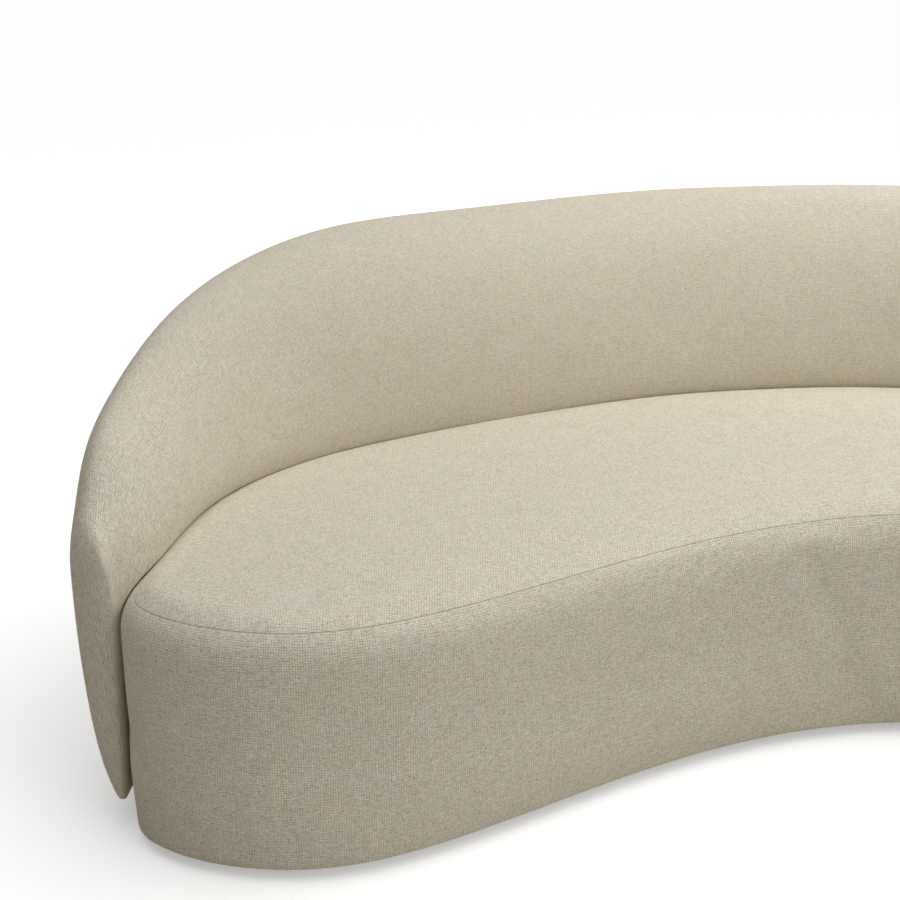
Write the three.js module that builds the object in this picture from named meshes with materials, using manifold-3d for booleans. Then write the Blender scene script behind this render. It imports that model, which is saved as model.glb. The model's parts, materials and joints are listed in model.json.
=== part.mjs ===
// Curved sofa with a wrap-round back, as the separate pieces it is built from.
// Millimetres, +X to the right seen from the front, +Y to the rear, +Z up.
// The origin is on the floor, under the middle of the sofa's box.
import * as THREE from "three";
import Module from "manifold-3d";

const wasm = await Module();
wasm.setup();

// Overall sizes
const baseHalfWidth = 1264;
const baseDepth = 1100;
const backHeight = 768;
const backBulge = 245;

// Seat base in section
const baseBottom = 20;
const shoulderHeight = 350;
const shoulderRadius = 70;
const seatCrown = 6;
const lowerEdgeInset = 24;
const lowerEdgeHeight = 26;
const tuckWidth = 34;
const coverThickness = 2.5;
const fitClearance = 0.3;
const foamSlack = 1.6;

// Seat frame
const boardThickness = 18;
const sideSkinThickness = 5;
const topFrameThickness = 18;
const webbingThickness = 2;
const webbingWidth = 50;
const webbingEndInset = 12;
const seatDeckHeight = 320;
const frontPadding = 43;
const rearPadding = 24;
const paddingChangeStart = 150;
const paddingChangeEnd = 380;
const postWidth = 45;
const crossRailWidth = 30;
const crossRailHeight = 60;
const dustCoverThickness = 1;
const dustCoverInset = 62;
const glideDiameter = 50;
const glideEdge = 3;
const glideInset = 110;

// Back in section
const backGap = 4;
const backLowEdge = 46;
const frontEdgeWidth = 6.3;
const lowEdgeWidth = 4;
const bulgeHeight = 417;
const creaseAngle = 1.09;
const creaseLead = 8;
const creaseRun = 50;
const noseRun = 120;
const backBoardRise = 4;
const backBoardThickness = 18;
const backBoardInset = 1;
const innerSkinThickness = 6;
const innerSkinTop = 340;
const topRailWidth = 40;
const topRailThickness = 24;
const topRailDrop = 46;
const outerPadding = 28;
const ribThickness = 18;
const kneeHeight = 150;
const paddingPartGap = 3;
const ribAllowance = 3;

// Bolts that join the back to the seat frame
const boltDiameter = 8;
const boltHole = 9;
const boltHeadDiameter = 20;
const boltHeadThickness = 5;
const nutDiameter = 18;
const nutThickness = 7;
const boltDrop = 22;

// Shapes of curves, as powers of a rounded quarter
const upperPower = 2.14;
const lowerPower = 1.75;
const lowEdgeShare = 0.17;

// Half of the base outline from the middle of the front, as shares of half width and depth
const outlineShares = [
  [0, 0.414],
  [0.205, 0.355],
  [0.386, 0.238],
  [0.595, 0.071],
  [0.783, -0.029],
  [1.021, 0.065],
  [0.99, 0.218],
  [0.951, 0.45],
  [0.818, 0.662],
  [0.552, 0.832],
  [0.328, 0.95],
  [0.151, 0.994],
  [0, 1.008],
];

// Back from just behind the arm's front edge to the middle of the rear, as shares of
// half the run, the back's rise over the seat, and its bulge (ridge, then outer face)
const frontEdgeRiseShare = 0.205;
const backRowShares = [
  [0, 0.192, 0.06, 0.22],
  [0.029, 0.223, 0.12, 0.33],
  [0.081, 0.526, 0.2, 0.39],
  [0.174, 0.565, 0.286, 0.61],
  [0.29, 0.826, 0.49, 0.72],
  [0.434, 1.02, 0.612, 0.88],
  [0.608, 0.989, 0.673, 1],
  [0.811, 1, 0.735, 1],
  [1, 1, 0.747, 1],
];
const noseRunShares = [0, 0.045, 0.14, 0.3, 0.52, 0.78];

// Places on curves, as shares of a quarter turn or of a line
const upperShares = [0.75, 0.5, 0.25, 0];
const lowerShares = [0.35, 0.7, 1];
const creaseShares = [0, 0.5, 1];
const faceShares = [0.75, 0.5, 0.25, 0];
const sideTaperShare = 0.125;
const lowSideShare = 0.35;
const spineShare = 0.75;
const spineMiddleShare = 0.707;
const spineDropShare = 0.39;
const crownShares = [0.3, 0.6];
const openingShare = 0.34;
const strapSpreadShare = 0.78;
const lowBoltShare = 0.45;
const foamSeamShare = 0.15;

// Counts
const stationCount = 60;
const lengthSteps = 1920;
const rowSteps = 24;
const glideSides = 16;
const boltSides = 12;
const strapCount = 9;

// Places of the frame's pieces round the outline, as shares of its length from the front
const postShares = [0, 0.1, 0.25, 0.385, 0.5, 0.615, 0.75, 0.9];
const crossRailShares = [
  [0, 0.5],
  [0.1, 0.385],
  [0.9, 0.615],
];
const boltShares = [0.385, 0.5, 0.615];
const skinEndShare = 0.25;
const glideShares = [0, 0.12, 0.25, 0.385, 0.5, 0.615, 0.75, 0.88];
const ribShares = [0.3, 0.35, 0.415, 0.455, 0.545, 0.585, 0.65, 0.7];

// Materials
const linen = new THREE.MeshStandardMaterial({ color: 0xcfc5b2, roughness: 0.92, metalness: 0 });
const foam = new THREE.MeshStandardMaterial({ color: 0xe6dcb8, roughness: 0.95, metalness: 0 });
const plywood = new THREE.MeshStandardMaterial({ color: 0xc9a571, roughness: 0.7, metalness: 0 });
const softwood = new THREE.MeshStandardMaterial({ color: 0xd8b981, roughness: 0.75, metalness: 0 });
const elastic = new THREE.MeshStandardMaterial({ color: 0x3a3632, roughness: 0.85, metalness: 0 });
const blackCloth = new THREE.MeshStandardMaterial({ color: 0x1d1d1e, roughness: 0.95, metalness: 0 });
const blackPlastic = new THREE.MeshStandardMaterial({ color: 0x17181a, roughness: 0.5, metalness: 0 });
const zincSteel = new THREE.MeshStandardMaterial({ color: 0xb9bcbf, roughness: 0.35, metalness: 1 });

const mix = THREE.MathUtils.lerp;
const ease = THREE.MathUtils.smoothstep;

// Weights of four neighbouring control rows of a uniform cubic B-spline
function rowWeights(share) {
  const rest = 1 - share;
  return [
    rest ** 3 / 6,
    (3 * share ** 3 - 6 * share ** 2 + 4) / 6,
    (-3 * share ** 3 + 3 * share ** 2 + 3 * share + 1) / 6,
    share ** 3 / 6,
  ];
}

// The base outline, a closed smooth curve that starts at the middle of the front
class BaseOutline extends THREE.Curve {
  constructor() {
    super();
    const half = outlineShares.map(([x, y]) => [x * baseHalfWidth, y * baseDepth]);
    const mirrored = half.slice(1, -1).reverse().map(([x, y]) => [-x, y]);
    this.controls = [...half, ...mirrored];
    this.arcLengthDivisions = lengthSteps;
  }

  getPoint(t, target = new THREE.Vector3()) {
    const count = this.controls.length;
    const place = (((t % 1) + 1) % 1) * count;
    const span = Math.floor(place);
    target.set(0, 0, 0);
    rowWeights(place - span).forEach((weight, i) => {
      const [x, y] = this.controls[(span + i - 1 + count) % count];
      target.x += weight * x;
      target.y += weight * y;
    });
    return target;
  }
}

const outline = new BaseOutline();
const outlineLengths = outline.getLengths();
const fineSteps = [...Array(lengthSteps).keys()];
const finePoints = fineSteps.map((i) => outline.getPoint(i / lengthSteps));
const widestStep = fineSteps.reduce((best, i) => (finePoints[i].x > finePoints[best].x ? i : best), 0);
const halfRun = outlineLengths[lengthSteps / 2] - outlineLengths[widestStep];

// A place on the outline: its point and its outward direction
function placeAt(t) {
  const point = outline.getPoint(t);
  const step = 1 / lengthSteps;
  const ahead = outline.getPoint(t + step);
  const behind = outline.getPoint(t - step);
  const out = new THREE.Vector3(ahead.y - behind.y, behind.x - ahead.x, 0).normalize();
  return { t, point, out };
}

// Distance along the outline from the right arm's front edge
function runOf(t) {
  const place = t * lengthSteps;
  const low = Math.floor(place);
  return mix(outlineLengths[low], outlineLengths[low + 1], place - low) - outlineLengths[widestStep];
}

function placeAtRun(run) {
  return { ...placeAt(outline.getUtoTmapping(0, outlineLengths[widestStep] + run)), run };
}

const stations = [...Array(stationCount).keys()].map((i) => {
  const t = (i + 0.5) / stationCount;
  return { ...placeAt(t), run: runOf(t) };
});

// The point a given distance out from a station's outline point
function outPoint(station, distance, height) {
  return station.point.clone().addScaledVector(station.out, distance).setZ(height);
}

// Closed body over loops of equally many points; open runs get their end loops filled
function loft(loops, closed, endShapes) {
  const size = loops[0].length;
  const positions = loops.flat().flatMap((p) => [p.x, p.y, p.z]);
  const faces = [];
  const last = closed ? loops.length : loops.length - 1;
  const points = loops.flat();
  for (let j = 0; j < last; j++) {
    const here = j * size;
    const next = ((j + 1) % loops.length) * size;
    for (let i = 0; i < size; i++) {
      const k = (i + 1) % size;
      const corners = [here + i, here + k, next + k, next + i];
      faces.push(...splitQuad(corners, points));
    }
  }
  if (!closed) {
    const top = (loops.length - 1) * size;
    const [firstShape, lastShape] = endShapes;
    for (const face of THREE.ShapeUtils.triangulateShape(firstShape, [])) {
      faces.push(turned(face, firstShape, false));
    }
    for (const face of THREE.ShapeUtils.triangulateShape(lastShape, [])) {
      faces.push(turned(face, lastShape, true).map((i) => i + top));
    }
  }
  return facedOut(positions, faces);
}

// Two triangles of four corners, split along the shorter diagonal
function splitQuad([a, b, c, d], points) {
  const shorter = points[a].distanceTo(points[c]) < points[b].distanceTo(points[d]);
  return shorter ? [[a, b, c], [a, c, d]] : [[a, b, d], [b, c, d]];
}

// A filled end's triangle, turned the same way as its loop or the other way
function turned(face, shape, sameWay) {
  const [a, b, c] = face.map((i) => shape[i]);
  const area = (b.x - a.x) * (c.y - a.y) - (c.x - a.x) * (b.y - a.y);
  const loopArea = THREE.ShapeUtils.area(shape);
  const matches = Math.sign(area) === Math.sign(loopArea);
  return matches === sameWay ? face : [face[0], face[2], face[1]];
}

// A geometry whose faces point outwards
function facedOut(positions, faces) {
  let volume = 0;
  const at = (i) => new THREE.Vector3().fromArray(positions, i * 3);
  for (const [a, b, c] of faces) volume += at(a).dot(at(b).cross(at(c)));
  const ordered = volume < 0 ? faces.map(([a, b, c]) => [a, c, b]) : faces;
  const geometry = new THREE.BufferGeometry();
  geometry.setAttribute("position", new THREE.Float32BufferAttribute(positions, 3));
  geometry.setIndex(ordered.flat());
  return geometry;
}

// Manifold solid of a geometry, and the way back
function solidOf(geometry) {
  const shared = sharedVertices(geometry);
  return new wasm.Manifold(new wasm.Mesh(shared));
}

function sharedVertices(geometry) {
  const source = geometry.index ? geometry.toNonIndexed() : geometry;
  const values = source.getAttribute("position").array;
  const known = new Map();
  const vertices = [];
  const corners = [];
  for (let i = 0; i < values.length; i += 3) {
    const spot = [values[i], values[i + 1], values[i + 2]];
    const key = spot.map((value) => value.toFixed(3)).join(" ");
    if (!known.has(key)) {
      known.set(key, vertices.length / 3);
      vertices.push(...spot);
    }
    corners.push(known.get(key));
  }
  const kept = [];
  for (let i = 0; i < corners.length; i += 3) {
    const [a, b, c] = corners.slice(i, i + 3);
    if (a !== b && b !== c && c !== a) kept.push(a, b, c);
  }
  return { numProp: 3, vertProperties: new Float32Array(vertices), triVerts: new Uint32Array(kept) };
}

function cutBy(geometry, cutters) {
  return geometryOf(cutters.reduce((body, cutter) => body.subtract(solidOf(cutter)), solidOf(geometry)));
}

function geometryOf(solid) {
  const mesh = solid.getMesh();
  const geometry = new THREE.BufferGeometry();
  const positions = new Float32Array(mesh.numVert * 3);
  for (let i = 0; i < mesh.numVert; i++) {
    const start = i * mesh.numProp;
    positions.set(mesh.vertProperties.subarray(start, start + 3), i * 3);
  }
  geometry.setAttribute("position", new THREE.BufferAttribute(positions, 3));
  geometry.setIndex([...mesh.triVerts]);
  return geometry;
}

const sofa = new THREE.Group();

function addPiece(name, geometry, material) {
  const mesh = new THREE.Mesh(geometry, material);
  mesh.name = name;
  sofa.add(mesh);
  return mesh;
}

// Seat base

// Padding between the frame and the cover: thick in front, thin behind the back
function paddingAt(station) {
  const fromArm = Math.min(station.run, 2 * halfRun - station.run);
  return mix(frontPadding, rearPadding, ease(fromArm, paddingChangeStart, paddingChangeEnd));
}

// How deep a piece's face lies under the cover's: laid close to it, or with slack
const paddingDepth = coverThickness + fitClearance;
const foamDepth = coverThickness + foamSlack;

const frameInset = (station) => coverThickness + paddingAt(station);

// Point of the base's rounded upper edge, some depth under the cover's face
function shoulderPoint(angle, depth) {
  const reach = shoulderRadius - depth;
  return new THREE.Vector2(
    shoulderRadius - reach * Math.cos(angle),
    shoulderHeight + reach * Math.sin(angle),
  );
}

const seamAngle = Math.PI / 4;
const flatAngle = Math.PI / 2;
const midSideHeight = (baseBottom + shoulderHeight) / 2;
const lowSideHeight = mix(baseBottom, midSideHeight, lowSideShare);

// Base side in section, as inset and height, from the lower edge up
function sideLine(depth) {
  return [
    new THREE.Vector2(lowerEdgeInset, baseBottom + depth),
    new THREE.Vector2(lowerEdgeInset / 2 + depth / 2, lowerEdgeHeight + depth / 2),
    new THREE.Vector2(lowerEdgeInset * sideTaperShare + depth, lowSideHeight),
    new THREE.Vector2(depth, midSideHeight),
    new THREE.Vector2(depth, shoulderHeight),
  ];
}

// A ring round the outline, from one section point
function ringOf(sectionPoint) {
  return stations.map((station) => outPoint(station, -sectionPoint.x, sectionPoint.y));
}

// Loops of section points at every station
function sectionLoops(sectionAt) {
  return stations.map((station) => sectionAt(station).map((p) => outPoint(station, -p.x, p.y)));
}

function bandCover() {
  const tuckEnd = lowerEdgeInset + tuckWidth;
  const outer = [
    new THREE.Vector2(tuckEnd, baseBottom - coverThickness),
    ...sideLine(0),
    shoulderPoint(seamAngle / 2, 0),
    shoulderPoint(seamAngle, 0),
  ];
  outer[1].y -= coverThickness;
  const inner = [
    shoulderPoint(seamAngle, coverThickness),
    shoulderPoint(seamAngle / 2, coverThickness),
    ...sideLine(coverThickness).reverse(),
  ];
  inner[inner.length - 1].y = baseBottom - fitClearance;
  inner.push(new THREE.Vector2(tuckEnd, baseBottom - fitClearance));
  return loft(sectionLoops(() => [...outer, ...inner]), true);
}

function bandFoam() {
  const depth = foamDepth;
  const sectionAt = (station) => {
    const back = frameInset(station) - fitClearance;
    const topAngle = Math.acos((shoulderRadius - back) / (shoulderRadius - depth));
    const top = shoulderPoint(topAngle, depth);
    return [
      ...sideLine(depth).slice(1),
      shoulderPoint(topAngle / 2, depth),
      top,
      new THREE.Vector2(back, lowerEdgeHeight + depth / 2),
    ];
  };
  return loft(sectionLoops(sectionAt), true);
}

// Line along the middle of the seat that the crown rises to
function spinePoint(point) {
  const x = point.x * spineShare;
  const away = x / (baseHalfWidth * spineShare);
  return new THREE.Vector3(x, baseDepth * (spineMiddleShare - spineDropShare * away ** 2), 0);
}

// A ring of the seat's crown, part of the way from the shoulder to the spine
function crownRing(share, depth) {
  const rise = seatCrown * (1 - (1 - share) ** 2);
  return ringOf(shoulderPoint(flatAngle, depth)).map((point) => {
    const height = point.z + rise;
    return point.lerp(spinePoint(point), share).setZ(height);
  });
}

const flat = (ring) => ring.map((p) => new THREE.Vector2(p.x, p.y));

function seatCover() {
  const edge = fitClearance / shoulderRadius;
  const angles = [seamAngle + edge, (seamAngle + flatAngle) / 2, flatAngle];
  const face = (depth) => [
    ...angles.map((angle) => ringOf(shoulderPoint(angle, depth))),
    ...crownShares.map((share) => crownRing(share, depth)),
  ];
  const loops = [...face(coverThickness).reverse(), ...face(0)];
  return loft(loops, false, [flat(loops[0]), flat(loops.at(-1))]);
}

function seatFoam() {
  const depth = foamDepth;
  const atStations = (sectionAt) =>
    stations.map((station) => {
      const p = sectionAt(frameInset(station));
      return outPoint(station, -p.x, p.y);
    });
  const edgeAngle = (inset) => Math.acos((shoulderRadius - inset) / (shoulderRadius - depth));
  const loops = [
    atStations((inset) => new THREE.Vector2(inset, seatDeckHeight)),
    atStations((inset) => shoulderPoint(edgeAngle(inset), depth)),
    atStations((inset) => shoulderPoint((edgeAngle(inset) + flatAngle) / 2, depth)),
    ringOf(shoulderPoint(flatAngle, depth)),
    ...crownShares.map((share) => crownRing(share, paddingDepth)),
  ];
  return loft(loops, false, [flat(loops[0]), flat(loops.at(-1))]);
}

// Outline of a flat frame piece, set in from the frame line
function frameShape(inset) {
  return new THREE.Shape(flat(stations.map((s) => outPoint(s, -frameInset(s) - inset, 0))));
}

function plate(shape, bottom, thickness) {
  const geometry = new THREE.ExtrudeGeometry(shape, { depth: thickness, bevelEnabled: false });
  return geometry.translate(0, 0, bottom);
}

const boardTop = baseBottom + boardThickness;
const topFrameBottom = seatDeckHeight - webbingThickness - topFrameThickness;

// Upright bent skin from one station to another along the frame line
function sideSkin(first, last) {
  const loops = [];
  for (let i = first; i <= last; i++) {
    const station = stations[(i + stationCount) % stationCount];
    const outside = -frameInset(station);
    const inside = outside - sideSkinThickness;
    loops.push([
      outPoint(station, outside, boardTop),
      outPoint(station, inside, boardTop),
      outPoint(station, inside, topFrameBottom),
      outPoint(station, outside, topFrameBottom),
    ]);
  }
  const end = [
    new THREE.Vector2(0, boardTop),
    new THREE.Vector2(sideSkinThickness, boardTop),
    new THREE.Vector2(sideSkinThickness, topFrameBottom),
    new THREE.Vector2(0, topFrameBottom),
  ];
  return loft(loops, false, [end, end]);
}

function topFrame() {
  const shape = frameShape(0);
  const opening = stations.map((station) => {
    const edge = outPoint(station, -frameInset(station), 0);
    return edge.lerp(spinePoint(edge), openingShare);
  });
  shape.holes.push(new THREE.Path(flat(opening)));
  return plate(shape, topFrameBottom, topFrameThickness);
}

// The station before the flat facet whose middle lies nearest to a share of the outline
const facetAt = (share) => (Math.round(share * stationCount) + stationCount - 1) % stationCount;

// The middle of a flat facet, set in behind the side skin
function facetPlace(share, depth) {
  const a = stations[facetAt(share)];
  const b = stations[(facetAt(share) + 1) % stationCount];
  const middle = outPoint(a, -frameInset(a), 0).lerp(outPoint(b, -frameInset(b), 0), 0.5);
  const along = outPoint(b, -frameInset(b), 0).sub(outPoint(a, -frameInset(a), 0)).normalize();
  const out = new THREE.Vector3(along.y, -along.x, 0);
  return { middle: middle.addScaledVector(out, -depth), out, angle: Math.atan2(along.y, along.x) };
}

const postHeight = topFrameBottom - boardTop;
const postDepth = sideSkinThickness + fitClearance + postWidth / 2;

function post(share, allowance = 0) {
  const place = facetPlace(share, postDepth);
  const width = postWidth + 2 * allowance;
  const geometry = new THREE.BoxGeometry(width, width, postHeight + 2 * allowance);
  geometry.rotateZ(place.angle);
  return geometry.translate(place.middle.x, place.middle.y, boardTop + postHeight / 2);
}

// Rail between two posts, right under the top frame, cut to their faces
function crossRail(frontShare, rearShare) {
  const front = facetPlace(frontShare, postDepth).middle;
  const rear = facetPlace(rearShare, postDepth).middle;
  const between = rear.clone().sub(front);
  const geometry = new THREE.BoxGeometry(crossRailWidth, between.length(), crossRailHeight);
  geometry.rotateZ(-Math.atan2(between.x, between.y));
  const middle = front.lerp(rear, 0.5);
  geometry.translate(middle.x, middle.y, topFrameBottom - crossRailHeight / 2);
  return cutBy(geometry, [post(frontShare, fitClearance), post(rearShare, fitClearance)]);
}

// Front and rear edge of the frame line at one width, found along its facets
function frameEdgesAt(x) {
  const crossings = [];
  for (let i = 0; i < stationCount; i++) {
    const a = outPoint(stations[i], -frameInset(stations[i]), 0);
    const next = stations[(i + 1) % stationCount];
    const b = outPoint(next, -frameInset(next), 0);
    if (a.x <= x !== b.x <= x) crossings.push(mix(a.y, b.y, (x - a.x) / (b.x - a.x)));
  }
  return [Math.min(...crossings), Math.max(...crossings)];
}

function strap(x) {
  const sides = [x - webbingWidth / 2, x + webbingWidth / 2].map(frameEdgesAt);
  const front = Math.max(...sides.map(([low]) => low)) + webbingEndInset;
  const rear = Math.min(...sides.map(([, high]) => high)) - webbingEndInset;
  const geometry = new THREE.BoxGeometry(webbingWidth, rear - front, webbingThickness);
  const height = seatDeckHeight - webbingThickness / 2;
  return geometry.translate(x, (front + rear) / 2, height);
}

const glideHeight = baseBottom - dustCoverThickness;

function glide(share) {
  const radius = glideDiameter / 2;
  const profile = [
    new THREE.Vector2(0, 0),
    new THREE.Vector2(radius - glideEdge, 0),
    new THREE.Vector2(radius, glideEdge),
    new THREE.Vector2(radius, glideHeight),
    new THREE.Vector2(0, glideHeight),
  ];
  const geometry = new THREE.LatheGeometry(profile, glideSides).rotateX(Math.PI / 2);
  const spot = facetPlace(share, glideInset).middle;
  return geometry.translate(spot.x, spot.y, 0);
}

// Back

// Control rows in real sizes, carried past both ends so that the curve meets them
const seatTop = shoulderHeight + shoulderRadius;
const frontRow = [
  0,
  mix(seatTop, backHeight, frontEdgeRiseShare),
  backGap + frontEdgeWidth / 2,
  backGap + frontEdgeWidth,
];
const laterRows = backRowShares.map(([run, rise, ridge, bulge]) => [
  run * halfRun,
  mix(seatTop, backHeight, rise),
  ridge * backBulge,
  bulge * backBulge,
]);
const backRows = [frontRow, ...laterRows];
const beforeFirst = backRows[0].map((value, i) => 2 * value - backRows[1][i]);
const beyondLast = backRows.at(-2).map((value, i) => (i === 0 ? 2 * halfRun - value : value));
const allRows = [beforeFirst, ...backRows, beyondLast];
const fineRows = [];
for (let span = 0; span + 3 < allRows.length; span++) {
  for (let step = 0; step <= rowSteps; step++) {
    const weights = rowWeights(step / rowSteps);
    const row = [0, 1, 2, 3].map((value) =>
      weights.reduce((sum, weight, i) => sum + weight * allRows[span + i][value], 0),
    );
    fineRows.push(row);
  }
}

// Height of the ridge, its lean and the outer bulge at a run
function backRowAt(run) {
  const near = Math.min(run, 2 * halfRun - run);
  const after = Math.max(1, fineRows.findIndex((row) => row[0] > near));
  const [a, b] = [fineRows[after - 1], fineRows[after]];
  const share = b[0] > a[0] ? THREE.MathUtils.clamp((near - a[0]) / (b[0] - a[0]), 0, 1) : 0;
  const [, top, ridge, bulge] = a.map((value, i) => mix(value, b[i], share));
  const low = mix(backGap + lowEdgeWidth, bulge, lowEdgeShare);
  return { near, top, ridge, bulge, low };
}

function quarter(angle, power) {
  return [Math.cos(angle) ** (2 / power), Math.sin(angle) ** (2 / power)];
}

// Points of the back in section, as distance out and height, some depth under its face
function upperPoints(row, depth) {
  return upperShares.map((share) => {
    const [x, y] = quarter(share * flatAngle, upperPower);
    const width = row.bulge - row.ridge - depth;
    return new THREE.Vector2(row.ridge + width * x, bulgeHeight + (row.top - bulgeHeight - depth) * y);
  });
}

function lowerPoints(row, depth) {
  return lowerShares.map((share) => {
    const [x, y] = quarter(share * flatAngle, lowerPower);
    const width = row.bulge - row.low - depth;
    return new THREE.Vector2(row.low + width * x, bulgeHeight - (bulgeHeight - backLowEdge - depth) * y);
  });
}

function creasePoint(row, share, depth) {
  const angle = creaseAngle * (1 - Math.exp(-(row.near + creaseLead) / creaseRun)) * share;
  const reach = shoulderRadius + backGap + depth;
  return new THREE.Vector2(
    reach * Math.cos(angle) - shoulderRadius,
    shoulderHeight + reach * Math.sin(angle),
  );
}

// Inner face from beside the shoulder of the base, past the crease, up to the ridge
function innerPoints(row, depth) {
  const crease = creasePoint(row, 1, depth);
  const face = faceShares.map((share) => {
    const [y, x] = quarter((1 - share) * flatAngle, 2).reverse();
    const width = row.ridge - crease.x;
    return new THREE.Vector2(row.ridge - width * x, crease.y + (row.top - depth - crease.y) * y);
  });
  return [...creaseShares.map((share) => creasePoint(row, share, depth)), ...face];
}

// Places along the back: the nose of each arm, then the base's own stations between
const noseRuns = noseRunShares.map((share) => share * noseRun);
const middleStations = stations.filter((s) => s.run > noseRun && s.run < 2 * halfRun - noseRun);
const rightNose = noseRuns.map(placeAtRun);
const leftNose = noseRuns.map((run) => placeAtRun(2 * halfRun - run)).reverse();
const backStations = [...rightNose, ...middleStations, ...leftNose];

// Loft along the back of sections given as distance out and height
function backLoft(places, sectionAt) {
  const sections = places.map((place) => sectionAt(backRowAt(place.run), place));
  const loops = sections.map((section, i) => section.map((p) => outPoint(places[i], p.x, p.y)));
  return loft(loops, false, [sections[0], sections.at(-1)]);
}

function backCoverInside() {
  return backLoft(backStations, (row) => {
    const line = (depth) => {
      const start = new THREE.Vector2(backGap + depth, backLowEdge);
      return [start, ...innerPoints(row, depth), upperPoints(row, depth)[0]];
    };
    return [...line(0), ...line(coverThickness).reverse()];
  });
}

function backCoverOutside() {
  return backLoft(backStations, (row) => {
    const line = (depth) => {
      const upper = upperPoints(row, depth);
      upper[0].y -= fitClearance;
      return [...upper, ...lowerPoints(row, depth)];
    };
    return [...line(0), ...line(coverThickness).reverse()];
  });
}

const backBoardBottom = backLowEdge + backBoardRise;
const backBoardTop = backBoardBottom + backBoardThickness;
const skinInside = backGap + paddingDepth;
const skinOutside = skinInside + innerSkinThickness;

// Corners of the back's frame in section, moved out by an allowance
function frameCorners(row, allowance) {
  const drop = ((bulgeHeight - kneeHeight) / (bulgeHeight - backLowEdge)) ** lowerPower;
  const kneeOut = row.low + (row.bulge - row.low) * (1 - drop) ** (1 / lowerPower);
  const railTop = row.top - topRailDrop;
  const railBottom = railTop - topRailThickness;
  return {
    foot: new THREE.Vector2(row.low - backBoardInset + allowance, backBoardTop),
    knee: new THREE.Vector2(kneeOut - outerPadding + allowance, kneeHeight),
    belly: new THREE.Vector2(row.bulge - outerPadding + allowance, bulgeHeight),
    railOuterLow: new THREE.Vector2(row.ridge + topRailWidth / 2 + allowance, railBottom),
    railOuterTop: new THREE.Vector2(row.ridge + topRailWidth / 2 + allowance, railTop + allowance),
    railInnerTop: new THREE.Vector2(row.ridge - topRailWidth / 2 - allowance, railTop + allowance),
    railInnerLow: new THREE.Vector2(row.ridge - topRailWidth / 2 - allowance, railBottom),
    skinTop: new THREE.Vector2(skinOutside + fitClearance - allowance, innerSkinTop + allowance),
    skinFoot: new THREE.Vector2(skinOutside + fitClearance, backBoardTop),
  };
}

// Where the frame starts and ends along the back, behind the solid foam noses
const frameFirst = noseRuns.length + 1;
const frameLast = backStations.length - 1 - frameFirst;
const framePlaces = backStations.slice(frameFirst, frameLast + 1);

function backFoamInside() {
  return backLoft(framePlaces, (row) => {
    const corners = frameCorners(row, fitClearance);
    return [
      new THREE.Vector2(skinInside, innerSkinTop + fitClearance),
      ...innerPoints(row, foamDepth),
      upperPoints(row, foamDepth)[0],
      corners.railOuterTop,
      corners.railInnerTop,
      corners.railInnerLow,
      corners.skinTop,
    ];
  });
}

function backFoamOutside() {
  return backLoft(framePlaces, (row) => {
    const corners = frameCorners(row, fitClearance);
    const partLine = corners.railOuterTop.clone();
    partLine.y -= paddingPartGap;
    const upper = upperPoints(row, foamDepth);
    upper[0].lerp(upper[1], foamSeamShare);
    return [
      ...upper,
      ...lowerPoints(row, foamDepth),
      corners.foot,
      corners.knee,
      corners.belly,
      corners.railOuterLow,
      partLine,
    ];
  });
}

// Solid foam nose of an arm, from its front edge to where the frame starts
function noseFoam(places) {
  const sections = places.map((place) => {
    const row = backRowAt(place.run);
    return [
      new THREE.Vector2(backGap + foamDepth, backLowEdge + foamDepth),
      ...innerPoints(row, foamDepth),
      ...upperPoints(row, foamDepth),
      ...lowerPoints(row, foamDepth),
    ];
  });
  const loops = sections.map((section, i) => section.map((p) => outPoint(places[i], p.x, p.y)));
  const [before, end] = loops.slice(-2);
  const share = fitClearance / before[0].distanceTo(end[0]);
  loops[loops.length - 1] = end.map((point, i) => point.lerp(before[i], share));
  return loft(loops, false, [sections[0], sections.at(-1)]);
}

function backBoard() {
  return backLoft(framePlaces, (row) => [
    new THREE.Vector2(skinInside, backBoardBottom),
    new THREE.Vector2(row.low - backBoardInset, backBoardBottom),
    new THREE.Vector2(row.low - backBoardInset, backBoardTop),
    new THREE.Vector2(skinInside, backBoardTop),
  ]);
}

function innerSkin() {
  return backLoft(framePlaces, () => [
    new THREE.Vector2(skinInside, backBoardTop),
    new THREE.Vector2(skinOutside, backBoardTop),
    new THREE.Vector2(skinOutside, innerSkinTop),
    new THREE.Vector2(skinInside, innerSkinTop),
  ]);
}

function topRail() {
  return backLoft(framePlaces, (row) => {
    const corners = frameCorners(row, 0);
    return [corners.railInnerLow, corners.railOuterLow, corners.railOuterTop, corners.railInnerTop];
  });
}

// Upright former across the back, in the middle of one facet, clear of the padding
function rib(share) {
  const [a, b] = [stations[facetAt(share)], stations[facetAt(share) + 1]];
  const sectionOf = (station) => {
    const corners = frameCorners(backRowAt(station.run), -ribAllowance);
    const { skinFoot, foot, knee, belly, railOuterLow, railInnerLow, skinTop } = corners;
    railOuterLow.y -= ribAllowance;
    railInnerLow.y -= ribAllowance;
    skinTop.x = skinFoot.x;
    return [skinFoot, foot, knee, belly, railOuterLow, railInnerLow, skinTop];
  };
  const [loopA, loopB] = [a, b].map((s) => sectionOf(s).map((p) => outPoint(s, p.x, p.y)));
  const half = ribThickness / 2 / a.point.distanceTo(b.point);
  const loops = [0.5 - half, 0.5 + half].map((part) =>
    loopA.map((point, i) => point.clone().lerp(loopB[i], part)),
  );
  const end = sectionOf(a);
  return loft(loops, false, [end, end]);
}

// Bolts through the posts at the rear into the back's inner skin
const highBoltHeight = topFrameBottom - crossRailHeight - boltDrop;
const lowBoltHeight = mix(boardTop, highBoltHeight, lowBoltShare);
const boltHeights = [lowBoltHeight, highBoltHeight];

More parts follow.
